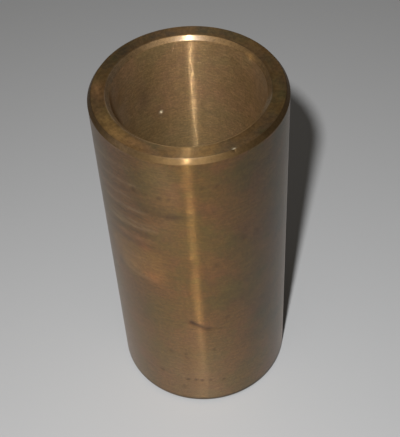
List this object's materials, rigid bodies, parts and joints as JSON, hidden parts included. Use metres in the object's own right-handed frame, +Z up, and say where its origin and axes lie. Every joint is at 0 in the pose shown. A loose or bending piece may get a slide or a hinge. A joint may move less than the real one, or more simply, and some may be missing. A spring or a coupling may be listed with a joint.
{
  "type": "bronze sleeve bushing",
  "caption": "Plain turned bronze sleeve bushing: a straight thick-walled tube with a smooth bore, chamfered bore edges and a shallow lead-in on each outer edge.",
  "frame": {"origin": "centre of the lower end face, on the bore axis", "axes": "+Z up along the bore axis; X and Y are any two square directions, because the sleeve is round"},
  "size_m": [0.045, 0.045, 0.095],
  "materials": {
    "bronze": "turned and tarnished bronze, satin"
  },
  "bodies": {
    "root": {"sleeve": "bronze"}
  },
  "joints": []
}
